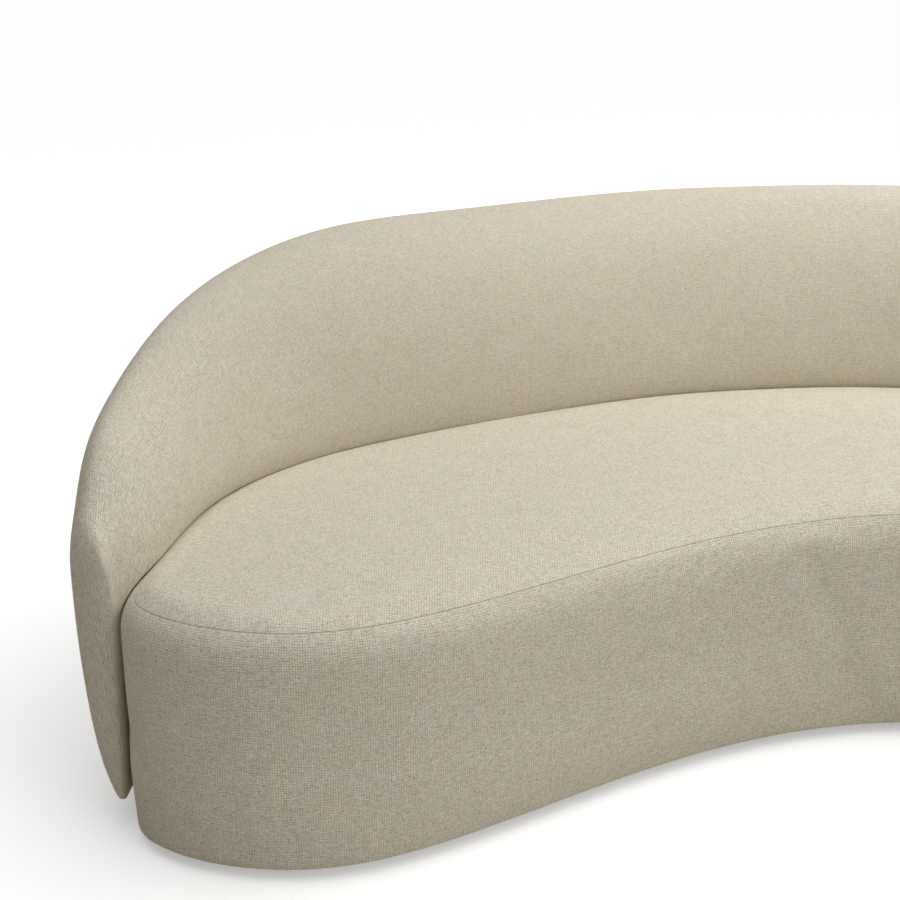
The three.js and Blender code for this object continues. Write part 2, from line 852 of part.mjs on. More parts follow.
// A round piece along the line of a bolt, from a profile of radius and distance out
function alongBolt(share, height, profile) {
  const { middle, out } = facetPlace(share, 0);
  const geometry = new THREE.LatheGeometry(profile, boltSides);
  geometry.applyQuaternion(new THREE.Quaternion().setFromUnitVectors(new THREE.Vector3(0, 1, 0), out));
  return geometry.translate(middle.x, middle.y, height);
}

function bolt(share, height) {
  const headFace = -(sideSkinThickness + postWidth + 2 * fitClearance);
  const nutFace = frameInset(stations[facetAt(share)]) + skinOutside + fitClearance;
  const profile = [
    new THREE.Vector2(0, headFace - boltHeadThickness),
    new THREE.Vector2(boltHeadDiameter / 2, headFace - boltHeadThickness),
    new THREE.Vector2(boltHeadDiameter / 2, headFace),
    new THREE.Vector2(boltDiameter / 2, headFace),
    new THREE.Vector2(boltDiameter / 2, nutFace),
    new THREE.Vector2(nutDiameter / 2, nutFace),
    new THREE.Vector2(nutDiameter / 2, nutFace + nutThickness),
    new THREE.Vector2(0, nutFace + nutThickness),
  ];
  return alongBolt(share, height, profile);
}


// Geometry with the bolt holes of some places drilled through it
function drilled(geometry, shares) {
  const reach = postWidth + frontPadding + rearPadding;
  const profile = [
    new THREE.Vector2(0, -reach),
    new THREE.Vector2(boltHole / 2, -reach),
    new THREE.Vector2(boltHole / 2, reach),
    new THREE.Vector2(0, reach),
  ];
  const holes = shares.flatMap((share) => boltHeights.map((height) => alongBolt(share, height, profile)));
  return cutBy(geometry, holes);
}

// Assembly

glideShares.forEach((share, i) => addPiece(`floor_glide_${i + 1}`, glide(share), blackPlastic));

const dustShape = new THREE.Shape(flat(ringOf(new THREE.Vector2(dustCoverInset, 0))));
addPiece("dust_cover", plate(dustShape, glideHeight, dustCoverThickness), blackCloth);
addPiece("bottom_board", plate(frameShape(0), baseBottom, boardThickness), plywood);

postShares.forEach((share, i) => {
  const geometry = boltShares.includes(share) ? drilled(post(share), [share]) : post(share);
  addPiece(`seat_post_${i + 1}`, geometry, softwood);
});
const skinEnd = facetAt(skinEndShare);
const otherSkinEnd = stationCount - 2 - skinEnd;
addPiece("front_side_skin", sideSkin(otherSkinEnd + 1 - stationCount, skinEnd), plywood);
addPiece("rear_side_skin", drilled(sideSkin(skinEnd + 1, otherSkinEnd), boltShares), plywood);
addPiece("top_frame", topFrame(), plywood);
crossRailShares.forEach(([front, rear], i) => {
  addPiece(`cross_rail_${i + 1}`, crossRail(front, rear), softwood);
});
for (let i = 0; i < strapCount; i++) {
  const place = (2 * i) / (strapCount - 1) - 1;
  addPiece(`webbing_${i + 1}`, strap(place * strapSpreadShare * baseHalfWidth), elastic);
}
addPiece("seat_foam", seatFoam(), foam);
addPiece("band_foam", drilled(bandFoam(), boltShares), foam);
addPiece("seat_cover", seatCover(), linen);
addPiece("band_cover", drilled(bandCover(), boltShares), linen);

addPiece("back_board", backBoard(), plywood);
addPiece("back_inner_skin", drilled(innerSkin(), boltShares), plywood);
ribShares.forEach((share, i) => addPiece(`back_rib_${i + 1}`, rib(share), plywood));
addPiece("back_top_rail", topRail(), plywood);
addPiece("back_foam_inside", backFoamInside(), foam);
addPiece("back_foam_outside", backFoamOutside(), foam);
addPiece("right_arm_foam", noseFoam(backStations.slice(1, frameFirst + 1)), foam);
addPiece("left_arm_foam", noseFoam(backStations.slice(frameLast, -1).reverse()), foam);
addPiece("back_cover_inside", drilled(backCoverInside(), boltShares), linen);
addPiece("back_cover_outside", backCoverOutside(), linen);

boltShares.forEach((share, i) => {
  addPiece(`back_bolt_low_${i + 1}`, bolt(share, lowBoltHeight), zincSteel);
  addPiece(`back_bolt_high_${i + 1}`, bolt(share, highBoltHeight), zincSteel);
});

// The origin goes under the middle of the whole
const whole = new THREE.Box3().setFromObject(sofa);
sofa.position.y = -(whole.min.y + whole.max.y) / 2;

export default sofa;
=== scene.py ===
import json
import math
import bpy
import numpy as np
from mathutils import Vector, kdtree, noise
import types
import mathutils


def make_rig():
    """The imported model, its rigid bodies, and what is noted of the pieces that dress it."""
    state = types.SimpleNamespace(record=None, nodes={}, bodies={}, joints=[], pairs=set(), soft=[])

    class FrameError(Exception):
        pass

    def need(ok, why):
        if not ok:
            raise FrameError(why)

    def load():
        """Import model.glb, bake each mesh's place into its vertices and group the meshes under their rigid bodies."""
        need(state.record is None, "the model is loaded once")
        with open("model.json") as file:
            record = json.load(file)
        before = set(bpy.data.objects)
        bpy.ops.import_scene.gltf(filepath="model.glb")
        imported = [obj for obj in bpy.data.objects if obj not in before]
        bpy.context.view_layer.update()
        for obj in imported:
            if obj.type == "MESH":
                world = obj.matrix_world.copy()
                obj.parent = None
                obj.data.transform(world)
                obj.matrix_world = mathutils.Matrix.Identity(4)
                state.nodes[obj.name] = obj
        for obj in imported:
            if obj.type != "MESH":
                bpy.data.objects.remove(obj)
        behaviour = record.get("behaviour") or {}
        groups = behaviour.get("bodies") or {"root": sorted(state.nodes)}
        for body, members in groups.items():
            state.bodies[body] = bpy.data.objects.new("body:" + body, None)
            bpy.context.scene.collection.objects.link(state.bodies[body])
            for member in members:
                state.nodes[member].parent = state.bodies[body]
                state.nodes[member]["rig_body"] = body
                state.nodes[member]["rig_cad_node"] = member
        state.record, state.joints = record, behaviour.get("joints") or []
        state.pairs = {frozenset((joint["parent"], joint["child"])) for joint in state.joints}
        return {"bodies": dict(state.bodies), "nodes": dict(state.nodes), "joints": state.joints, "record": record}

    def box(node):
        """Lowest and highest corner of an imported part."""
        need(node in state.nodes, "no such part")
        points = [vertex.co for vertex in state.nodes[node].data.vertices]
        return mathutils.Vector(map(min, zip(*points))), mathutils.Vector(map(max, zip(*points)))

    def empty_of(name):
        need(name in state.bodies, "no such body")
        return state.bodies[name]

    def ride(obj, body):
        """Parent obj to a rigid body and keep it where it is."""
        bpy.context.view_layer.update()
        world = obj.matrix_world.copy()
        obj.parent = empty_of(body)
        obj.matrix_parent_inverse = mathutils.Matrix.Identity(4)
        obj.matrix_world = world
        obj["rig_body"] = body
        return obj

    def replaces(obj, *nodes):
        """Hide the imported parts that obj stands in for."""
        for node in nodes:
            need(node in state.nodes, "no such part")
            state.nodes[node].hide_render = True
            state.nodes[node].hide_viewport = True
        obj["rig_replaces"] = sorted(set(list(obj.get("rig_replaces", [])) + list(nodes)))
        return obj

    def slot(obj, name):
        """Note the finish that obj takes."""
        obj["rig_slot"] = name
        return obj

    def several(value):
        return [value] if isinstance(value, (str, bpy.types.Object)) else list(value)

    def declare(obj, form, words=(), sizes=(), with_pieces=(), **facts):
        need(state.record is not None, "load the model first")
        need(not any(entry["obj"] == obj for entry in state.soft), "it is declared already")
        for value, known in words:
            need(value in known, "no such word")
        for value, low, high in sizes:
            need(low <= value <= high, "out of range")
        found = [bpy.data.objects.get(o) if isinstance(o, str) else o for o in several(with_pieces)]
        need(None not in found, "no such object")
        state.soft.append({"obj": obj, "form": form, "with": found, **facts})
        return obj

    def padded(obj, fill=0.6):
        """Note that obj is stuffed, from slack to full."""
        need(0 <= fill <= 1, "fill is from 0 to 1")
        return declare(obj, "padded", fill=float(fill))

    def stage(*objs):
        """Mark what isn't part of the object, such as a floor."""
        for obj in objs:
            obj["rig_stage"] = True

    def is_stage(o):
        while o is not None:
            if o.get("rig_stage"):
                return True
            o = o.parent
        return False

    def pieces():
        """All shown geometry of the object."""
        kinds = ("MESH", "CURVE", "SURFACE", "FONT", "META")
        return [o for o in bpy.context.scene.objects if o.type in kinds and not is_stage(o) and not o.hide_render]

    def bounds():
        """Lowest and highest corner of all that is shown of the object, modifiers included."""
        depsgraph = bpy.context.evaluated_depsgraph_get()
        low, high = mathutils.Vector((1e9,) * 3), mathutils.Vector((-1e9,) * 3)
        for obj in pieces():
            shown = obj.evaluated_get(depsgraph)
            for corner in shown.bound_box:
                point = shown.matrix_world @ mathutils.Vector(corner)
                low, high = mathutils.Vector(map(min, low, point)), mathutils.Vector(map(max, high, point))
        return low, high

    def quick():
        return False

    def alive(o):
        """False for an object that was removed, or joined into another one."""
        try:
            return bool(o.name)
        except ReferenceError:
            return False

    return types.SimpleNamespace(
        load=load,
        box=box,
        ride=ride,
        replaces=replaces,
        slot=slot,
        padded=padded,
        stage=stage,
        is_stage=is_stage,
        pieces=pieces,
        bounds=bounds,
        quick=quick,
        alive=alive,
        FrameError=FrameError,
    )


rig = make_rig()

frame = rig.load()
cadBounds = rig.bounds()
scene = bpy.context.scene


# Helpers
# A structured sheet of quads is a primitive grid whose points are then laid out in code.
halfRow = 0.5  # rows are counted in whole numbers, so a limit lies half way between two
mergeDistance = 0.00005
joinDistance = 0.0002


def deselectAll():
    if bpy.context.object and bpy.context.object.mode != "OBJECT":
        bpy.ops.object.mode_set(mode="OBJECT")
    bpy.ops.object.select_all(action="DESELECT")


def makeActive(piece):
    deselectAll()
    piece.select_set(True)
    bpy.context.view_layer.objects.active = piece


def coordsOf(piece):
    coords = np.empty(len(piece.data.vertices) * 3)
    piece.data.vertices.foreach_get("co", coords)
    return coords.reshape(-1, 3)


def setCoords(piece, coords):
    piece.data.vertices.foreach_set("co", np.asarray(coords, float).ravel())
    piece.data.update()


def normalsOf(piece):
    normals = np.empty(len(piece.data.vertices) * 3)
    piece.data.vertex_normals.foreach_get("vector", normals)
    return normals.reshape(-1, 3)


# points are (rows, columns, 3), weave (rows, columns, 2), and each mark (rows, columns)
def gridPiece(name, points, weave, **marks):
    rows, columns = points.shape[:2]
    deselectAll()
    bpy.ops.mesh.primitive_grid_add(x_subdivisions=columns - 1, y_subdivisions=rows - 1, size=1)
    piece = bpy.context.object
    piece.name = name
    piece.data.name = name
    setCoords(piece, points.reshape(-1, 3))
    uvLayer = piece.data.uv_layers.active or piece.data.uv_layers.new(name="weave")
    uvLayer.name = "weave"
    corners = np.empty(len(piece.data.loops), int)
    piece.data.loops.foreach_get("vertex_index", corners)
    uvLayer.data.foreach_set("uv", weave.reshape(-1, 2)[corners].ravel())
    for mark, values in marks.items():
        attribute = piece.data.attributes.new(mark, "FLOAT", "POINT")
        attribute.data.foreach_set("value", np.broadcast_to(values, (rows, columns)).ravel())
    return piece


def markOf(piece, mark):
    values = np.empty(len(piece.data.vertices))
    piece.data.attributes[mark].data.foreach_get("value", values)
    return values


def mergeDoubles(piece, distance=mergeDistance):
    makeActive(piece)
    bpy.ops.object.mode_set(mode="EDIT")
    bpy.ops.mesh.select_all(action="SELECT")
    bpy.ops.mesh.remove_doubles(threshold=distance)
    bpy.ops.mesh.normals_make_consistent(inside=False)
    bpy.ops.mesh.select_all(action="DESELECT")
    bpy.ops.object.mode_set(mode="OBJECT")


def joinPieces(piece, *others):
    makeActive(piece)
    for other in others:
        other.select_set(True)
    bpy.ops.object.join()
    mergeDoubles(piece, joinDistance)


def applyModifier(piece, modifier):
    makeActive(piece)
    bpy.ops.object.modifier_apply(modifier=modifier.name)


def subdivideSmooth(piece, levels=1):
    modifier = piece.modifiers.new("smooth", "SUBSURF")
    modifier.levels = levels
    modifier.render_levels = levels
    modifier.use_limit_surface = True
    applyModifier(piece, modifier)


def shadeSmooth(piece):
    makeActive(piece)
    bpy.ops.object.shade_smooth()


# The plan of the sofa
plan = {
    "halfWidth": 1.264,
    "depth": 1.1,
    # half of the outline from the middle of the front, as shares of half width and depth
    "controls": [
        (0, 0.414), (0.205, 0.355), (0.386, 0.238), (0.595, 0.071), (0.783, -0.029),
        (1.021, 0.065), (0.99, 0.218), (0.951, 0.45), (0.818, 0.662), (0.552, 0.832),
        (0.328, 0.95), (0.151, 0.994), (0, 1.008),
    ],
    "fineSteps": 9600,
    "directionSteps": 3,  # how many fine steps to each side give the direction
    "treeSteps": 16,
}


def splineWeights(share):
    rest = 1 - share
    return [
        rest ** 3 / 6,
        (3 * share ** 3 - 6 * share ** 2 + 4) / 6,
        (-3 * share ** 3 + 3 * share ** 2 + 3 * share + 1) / 6,
        share ** 3 / 6,
    ]


def closedSpline(controls, share):
    place = (share % 1.0) * len(controls)
    span = np.floor(place).astype(int)
    weights = splineWeights(place - span)
    return sum(w[:, None] * controls[(span + i - 1) % len(controls)] for i, w in enumerate(weights))


halfControls = np.array(plan["controls"]) * (plan["halfWidth"], plan["depth"])
outlineControls = np.vstack([halfControls, halfControls[-2:0:-1] * (-1, 1)])
fineShares = np.arange(plan["fineSteps"] + 1) / plan["fineSteps"]
finePoints = closedSpline(outlineControls, fineShares)
bandLow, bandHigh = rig.box("band_cover")
shiftY = (bandLow.y + bandHigh.y) / 2 - (finePoints[:, 1].min() + finePoints[:, 1].max()) / 2
finePoints[:, 1] += shiftY  # from the outline's own frame into the part's
fineLengths = np.concatenate([[0], np.cumsum(np.linalg.norm(np.diff(finePoints, axis=0), axis=1))])
outlineLength = fineLengths[-1]
armEdge = fineLengths[np.argmax(finePoints[:, 0])]  # where the right arm's front edge stands
backLength = outlineLength - 2 * armEdge


def outlinePoints(lengths):
    wrapped = np.mod(lengths, outlineLength)
    return np.stack([np.interp(wrapped, fineLengths, finePoints[:, k]) for k in (0, 1)], -1)


# Points and outward directions at lengths along the outline from the middle of the front
def outlineAt(lengths):
    reach = plan["directionSteps"] * outlineLength / plan["fineSteps"]
    along = outlinePoints(lengths + reach) - outlinePoints(lengths - reach)
    outs = np.stack([along[:, 1], -along[:, 0]], -1)
    return outlinePoints(lengths), outs / np.linalg.norm(outs, axis=1, keepdims=True)


# Places in the section are a distance out from the outline and a height
def sweep(points, outs, distance, height):
    flat = points[:, None, :] + outs[:, None, :] * distance[..., None]
    height = np.broadcast_to(height, distance.shape)
    return np.concatenate([flat, height[..., None]], -1)


# Soft shaping
padding = {
    "waveShift": Vector((7.31, 3.17, 5.71)),
    "frames": 20,
    "quality": 4,
    "mass": 0.3,
    "tension_stiffness": 12,
    "compression_stiffness": 12,
    "shear_stiffness": 6,
    "bending_stiffness": 1.5,
}


# Slow rises and hollows that hand-laid padding and cloth have: each has an amount, a size and a seed
def undulate(piece, waves, free):
    for amount, size, seed in waves:
        coords = coordsOf(piece)
        lifts = np.array([noise.noise(Vector(c) / size + padding["waveShift"] * seed) for c in coords])
        setCoords(piece, coords + normalsOf(piece) * (lifts * amount * free)[:, None])


# The cover swells between the lines that hold it, no further than the cap
def puff(piece, held, pressure, cap):
    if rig.quick():
        return
    start = coordsOf(piece)
    group = piece.vertex_groups.new(name="held")
    group.add([int(i) for i in np.flatnonzero(held)], 1.0, "REPLACE")
    cloth = piece.modifiers.new("cover", "CLOTH")
    for key in ("quality", "mass", "tension_stiffness", "compression_stiffness",
                "shear_stiffness", "bending_stiffness"):
        setattr(cloth.settings, key, padding[key])
    cloth.settings.use_pressure = True
    cloth.settings.uniform_pressure_force = pressure
    cloth.settings.vertex_group_mass = "held"
    cloth.settings.effector_weights.gravity = 0
    cloth.point_cache.frame_start = 1
    cloth.point_cache.frame_end = padding["frames"]
    for number in range(1, padding["frames"] + 1):
        scene.frame_set(number)
    applyModifier(piece, cloth)
    scene.frame_set(1)
    moves = coordsOf(piece) - start
    lengths = np.linalg.norm(moves, axis=1, keepdims=True)
    kept = cap * np.tanh(lengths / cap) / np.maximum(lengths, 1e-9)
    setCoords(piece, start + moves * kept)
    print("swelled", piece.name, "by up to", round(float(lengths.max()) * 1000, 1), "mm")


# Base: the seat pad and the band round it
base = {
    "bottom": 0.0175,
    # distances out from the outline, and heights over the bottom
    "underside": [(-0.058, 0.004), (-0.054, 0), (-0.044, 0)],
    "foot": [(-0.0062, 0.036), (-0.0036, 0.055), (-0.002, 0.075), (-0.0009, 0.095)],
    "cornerInset": 0.022,
    "cornerRadius": 0.016,
    "cornerAngles": (-90, -30),
    "cornerRows": 5,
    "faceStart": 0.115,
    "faceStop": 0.006,
    "faceSpacing": 0.0145,
    "shoulderHeight": 0.35,
    "shoulderRadius": 0.07,
    "bandAngles": (0, 9, 18, 27, 35),
    "seatAngles": (53, 59, 65, 71.5, 78, 84, 90),
    "seamAngle": 45,
    "seamGap": 0.0003,
    "seamDepth": 0.002,
    "seamRoll": 0.001,
    "rollShares": (0, 0.3, 0.6, 0.85, 1),
    "frameLine": 0.192,  # height at which the frame's edge shows faintly through the band
    "frameLineDepth": 0.0011,
    "frameLineWidth": 0.016,
    "insideTurn": 4,  # where the hidden side of the band starts: degrees past the seam
    "insideDepth": 0.011,
    # the hidden sides of band and seat, as distances out from the outline and heights
    "bandInside": [(-0.036, 0.365), (-0.04, 0.2), (-0.042, 0.06), (-0.056, 0.0255)],
    "seatInside": [(-0.075, 0.372), (-0.06, 0.378)],
    "crown": 0.007,
    "crownWidth": 0.2,
    "fillInset": 0.08,
    "armTuck": 0.0125,  # how far the arms press the base in beside their fronts
    "armTuckReach": 0.2,
    "armTuckLean": 1.3,  # how much faster it draws in higher up, per metre
    "armTuckMiddle": 0.2,
    "columns": 376,
    "shortSpan": 32,
    "wrapSlack": 0.001,
    "bandSwell": {"pressure": 0.5, "cap": 0.004},
    "bandWaves": [(0.0022, 0.28, 3), (0.0007, 0.09, 4)],
    "seatSwell": {"pressure": 0.16, "cap": 0.005},
    "seatWaves": [(0.0022, 0.3, 5)],
    "seatStillRows": 2,  # past the seam, where the seat has no waves
    "backStart": 0.03,  # how far before each arm's front the back begins to cover the seat
    "openRows": 3,
}


# Points on an arc, as distances out and heights
def arcPoints(centre, radius, startAngle, endAngle, count):
    angles = np.radians(np.linspace(startAngle, endAngle, count))
    return [(centre[0] + radius * math.cos(a), centre[1] + radius * math.sin(a)) for a in angles]


# The shoulder of the base: angle 0 is its upright start and 90 the level seat
def shoulderPoint(angle, depth=0.0):
    reach = base["shoulderRadius"] - depth
    a = math.radians(angle)
    return (reach * math.cos(a) - base["shoulderRadius"], base["shoulderHeight"] + reach * math.sin(a))


# How a panel's edge rolls into the seam, from its face down to the seam's bottom
def seamEdge(side):
    roll, gap = base["seamRoll"], base["seamGap"] / 2
    turns = [math.pi / 2 * share for share in base["rollShares"]]
    rows = [(gap + roll * (1 - math.sin(t)), roll * (1 - math.cos(t))) for t in turns]
    rows.append((gap, base["seamDepth"]))
    radius = base["shoulderRadius"]
    return [shoulderPoint(base["seamAngle"] + side * math.degrees(away / radius), depth)
            for away, depth in rows]


def sectionLengths(section):
    steps = np.linalg.norm(np.diff(np.asarray(section), axis=0), axis=1)
    return np.concatenate([[0], np.cumsum(steps)])


# The base draws in a little beside the front of each arm, more so higher up
def armTuck(lengths, heights):
    fromArm = np.abs(np.minimum(lengths, outlineLength - lengths) - armEdge)
    lean = 1 + base["armTuckLean"] * (np.asarray(heights) - base["armTuckMiddle"])
    return base["armTuck"] * lean * np.exp(-(fromArm / base["armTuckReach"]) ** 2)


# One section carried all the way round the outline
def ringPiece(name, section):
    section = np.array(section)
    lengths = np.linspace(0, outlineLength, base["columns"] + 1)
    points, outs = outlineAt(lengths)
    distance = section[None, :, 0] - armTuck(lengths[:, None], section[None, :, 1])
    placed = sweep(points, outs, distance, section[:, 1][None, :])
    across = sectionLengths(section)
    weave = np.stack(np.broadcast_arrays(lengths[:, None], across[None, :]), -1)
    piece = gridPiece(name, placed, weave, row=np.arange(len(section))[None, :], run=lengths[:, None])
    mergeDoubles(piece)
    return piece


def makeBand():
    low, radius = base["bottom"], base["cornerRadius"]
    underside = [(out, low + up) for out, up in base["underside"]]
    centre = (-base["cornerInset"], low + radius)
    corner = arcPoints(centre, radius, *base["cornerAngles"], base["cornerRows"])
    foot = [(out, low + up) for out, up in base["foot"]]
    faceTop = base["shoulderHeight"] - base["faceStop"]
    heights = np.arange(low + base["faceStart"], faceTop, base["faceSpacing"])
    fromLine = (heights - base["frameLine"]) / base["frameLineWidth"]
    hollow = -base["frameLineDepth"] * np.exp(-fromLine ** 2)
    shoulder = [shoulderPoint(angle) for angle in base["bandAngles"]]
    seam = seamEdge(-1)
    face = [*underside, *corner, *foot, *zip(hollow, heights), *shoulder, *seam]
    behindSeam = shoulderPoint(base["seamAngle"] - base["insideTurn"], base["insideDepth"])
    piece = ringPiece("bandUpholstery", [*face, behindSeam, *base["bandInside"], underside[0]])
    row = markOf(piece, "row")
    seamStart = len(face) - len(seam) - halfRow
    puff(piece, (row < len(underside) + halfRow) | (row > seamStart - 1), **base["bandSwell"])
    row = markOf(piece, "row")
    free = (row > len(underside) + halfRow) & (row < seamStart)
    undulate(piece, base["bandWaves"], free.astype(float))
    subdivideSmooth(piece)
    return piece


# The level middle of the seat, laid between the four sides of the ring's inner edge
def seatMiddle(edge, row):
    columns, short = base["columns"], base["shortSpan"]
    corner = columns // 4 - short // 2
    long = 2 * corner
    front = edge[np.arange(-corner, corner + 1) % columns]
    right = edge[np.arange(corner, corner + short + 1)]
    rear = edge[np.arange(columns // 2 + corner, columns // 2 - corner - 1, -1)]
    left = edge[np.arange(columns - corner, columns - corner - short - 1, -1)]
    u = np.linspace(0, 1, long + 1)[None, :, None]
    v = np.linspace(0, 1, short + 1)[:, None, None]
    across = (1 - v) * front[None] + v * rear[None]
    along = (1 - u) * left[:, None] + u * right[:, None]
    corners = (1 - v) * ((1 - u) * front[0] + u * front[-1]) + v * ((1 - u) * rear[0] + u * rear[-1])
    points = across + along - corners
    return gridPiece("seatMiddle", points, points[..., :2], row=row, run=0)


# The ring's open edge at one row, in order round the outline
def openEdge(piece, atRow):
    row, run = markOf(piece, "row"), markOf(piece, "run")
    order = np.flatnonzero(np.abs(row - atRow) < halfRow)
    order = order[np.argsort(np.mod(run[order] + base["wrapSlack"], outlineLength))]
    return coordsOf(piece)[order]


def makeSeat():
    shoulder = [shoulderPoint(angle) for angle in base["seatAngles"]]
    flat = (-base["fillInset"], base["shoulderHeight"] + base["shoulderRadius"])
    section = [*base["seatInside"], *seamEdge(1)[::-1], *shoulder, flat]
    piece = ringPiece("seatUpholstery", section)
    last = len(section) - 1
    seamEnd = last - len(shoulder) - halfRow
    joinPieces(piece, seatMiddle(openEdge(piece, last), last + 1), seatMiddle(openEdge(piece, 0), -1))
    row = markOf(piece, "row")
    crownSeat(piece, np.flatnonzero(row > last + halfRow))
    run = markOf(piece, "run")
    backStart = armEdge - base["backStart"]
    underBack = (run > backStart) & (run < outlineLength - backStart)
    underBack &= row < last - base["openRows"] + halfRow
    puff(piece, (row < seamEnd) | underBack, **base["seatSwell"])
    row = markOf(piece, "row")
    undulate(piece, base["seatWaves"], (row > seamEnd + base["seatStillRows"]).astype(float))
    subdivideSmooth(piece)
    layWeaveFlat(piece)
    return piece


# The seat's cloth lies level, so its weave follows the plan
def layWeaveFlat(piece):
    corners = np.empty(len(piece.data.loops), int)
    piece.data.loops.foreach_get("vertex_index", corners)
    piece.data.uv_layers["weave"].data.foreach_set("uv", coordsOf(piece)[corners, :2].ravel())


# Raises the seat a little towards its middle
def crownSeat(piece, points):
    step = plan["treeSteps"]
    tree = kdtree.KDTree(plan["fineSteps"] // step)
    for index, (x, y) in enumerate(finePoints[:-1:step]):
        tree.insert((x, y, 0), index)
    tree.balance()
    coords = coordsOf(piece)
    for index in points:
        inset = tree.find((coords[index, 0], coords[index, 1], 0))[2]
        share = min(1, max(0, inset - base["shoulderRadius"]) / base["crownWidth"])
        coords[index, 2] += base["crown"] * (1 - (1 - share) ** 2)
    setCoords(piece, coords)


# Back: one padded wall that runs down into both arms
back = {
    "gap": 0.0005,  # between the back and the base's shoulder, where they press together
    "lowGap": 0.0055,
    "gapRun": 0.06,  # how soon behind the arm's front the gap closes
    "gapHeights": (0.05, 0.1, 0.18, 0.26, 0.3, 0.33),
    "lowEdge": 0.046,
    "bulgeHeight": 0.417,
    "bulge": 0.245,
    "height": 0.768,
    "frontRise": 0.205,
    "frontWidth": 0.0063,
    "lowWidth": 0.0075,
    "lowShare": 0.33,
    "creaseAngle": 1.09,
    "creaseLead": 0.008,
    "creaseRun": 0.05,
    "creaseRows": 7,
    "creaseShares": (0.97, 1),  # rows close together that keep the crease sharp
    "swell": 0.009,  # how far the padding hangs over the crease, and at what height
    "swellHeight": 0.045,
    "swellRun": 0.3,
    "faceStartShare": 0.006,
    "faceRows": 26,
    "innerPower": 2,
    "upperRows": 24,
    "upperPower": 2.14,
    "lowerRows": 26,
    "lowerPower": 1.12,
    "underShares": (0.3, 0.65),
    # from the arm's front edge to the middle of the rear: shares of half the run, of the
    # rise over the seat, and of the bulge for the ridge and for the outer face
    "rowShares": [
        (0, 0.192, 0.06, 0.17), (0.029, 0.223, 0.12, 0.285), (0.081, 0.5, 0.2, 0.37),
        (0.174, 0.555, 0.286, 0.595), (0.29, 0.826, 0.49, 0.715), (0.434, 1.02, 0.612, 0.88),
        (0.608, 0.989, 0.673, 1), (0.811, 1, 0.735, 1), (1, 1, 0.747, 1),
    ],
    "rowSteps": 40,
    "lead": 0.012,  # how far each arm reaches past the widest place of the base
    "noseReach": 0.042,  # over which each arm's front rounds off
    "bluntness": 0.012,
    "ridgeShare": 0.35,
    "noseDrop": 0.05,
    "noseHollow": 0.009,
    "tipRise": 0.02,
    "noseRun": 0.1,
    "noseRows": 16,
    "noseNarrowShare": 0.5,
    "noseSteps": (0.0003, 0.0005),  # how far the last two columns stand ahead
    "rowSpacing": 0.015,
    "heldUnderRows": 6,
    "swellUnder": {"pressure": 0.22, "cap": 0.004},
    "waves": [(0.0024, 0.3, 7)],
    "waveRun": 0.15,
}


# Ridge height, ridge lean and outer bulge at distances from the nearer arm's front edge
def backRows():
    seatTop = base["shoulderHeight"] + base["shoulderRadius"]
    rise = back["height"] - seatTop
    front = (0, seatTop + back["frontRise"] * rise,
             back["lowGap"] + back["frontWidth"] / 2, back["lowGap"] + back["frontWidth"])
    later = [(run * backLength / 2, seatTop + up * rise, ridge * back["bulge"], bulge * back["bulge"])
             for run, up, ridge, bulge in back["rowShares"]]
    rows = np.array([front, *later])
    before = 2 * rows[0] - rows[1]
    beyond = rows[-2].copy()
    beyond[0] = backLength - beyond[0]
    rows = np.vstack([before, rows, beyond])
    fine = []
    for span in range(len(rows) - 3):
        for share in np.linspace(0, 1, back["rowSteps"], endpoint=False):
            fine.append(sum(w * rows[span + i] for i, w in enumerate(splineWeights(share))))
    fine.append(np.array([backLength / 2, *rows[-2][1:]]))
    return np.array(fine)


def quarterTurn(shares, power):
    angle = shares * math.pi / 2
    return np.cos(angle) ** (2 / power), np.sin(angle) ** (2 / power)


# The inner face down in the gap beside the base, over the crease and up to the ridge
def innerFace(near, inside, ridge, top, roundness):
    along, fromFront = armEdge + near, max(0, near + back["lead"])
    radius, shoulder = base["shoulderRadius"], base["shoulderHeight"]
    tuck = armTuck(along, shoulder)
    gapHere = back["gap"] + (back["lowGap"] - back["gap"]) * math.exp(-fromFront / back["gapRun"])
    heights = np.array(back["gapHeights"])
    heights[0] += back["tipRise"] * (1 - roundness) ** 2
    closing = (back["lowGap"] - gapHere) / shoulder
    gap = [(inside + tuck - armTuck(along, up) - closing * up, up) for up in heights]
    lead = max(near, 0) + back["creaseLead"]
    bend = back["creaseAngle"] * (1 - math.exp(-lead / back["creaseRun"]))
    turns = list(np.linspace(0, bend, back["creaseRows"])[:-1])
    turns += [bend * share for share in back["creaseShares"]]
    reach = radius + gapHere
    aside = inside - back["lowGap"] - radius
    crease = []
    for turn in turns:
        up = shoulder + reach * math.sin(turn)
        crease.append((reach * math.cos(turn) + aside + tuck - armTuck(along, up), up))
    creaseOut, creaseUp = crease[-1]
    shares = np.array([back["faceStartShare"], *np.linspace(0, 1, back["faceRows"])[1:]])
    cosine, sine = quarterTurn(shares, back["innerPower"])
    rises = (top - creaseUp) * sine / back["swellHeight"]
    swell = back["swell"] * min(1, fromFront / back["swellRun"]) * rises * np.exp(1 - rises)
    face = zip(ridge - (ridge - creaseOut) * cosine - swell, creaseUp + (top - creaseUp) * sine)
    return np.array([*gap, *crease, *face])


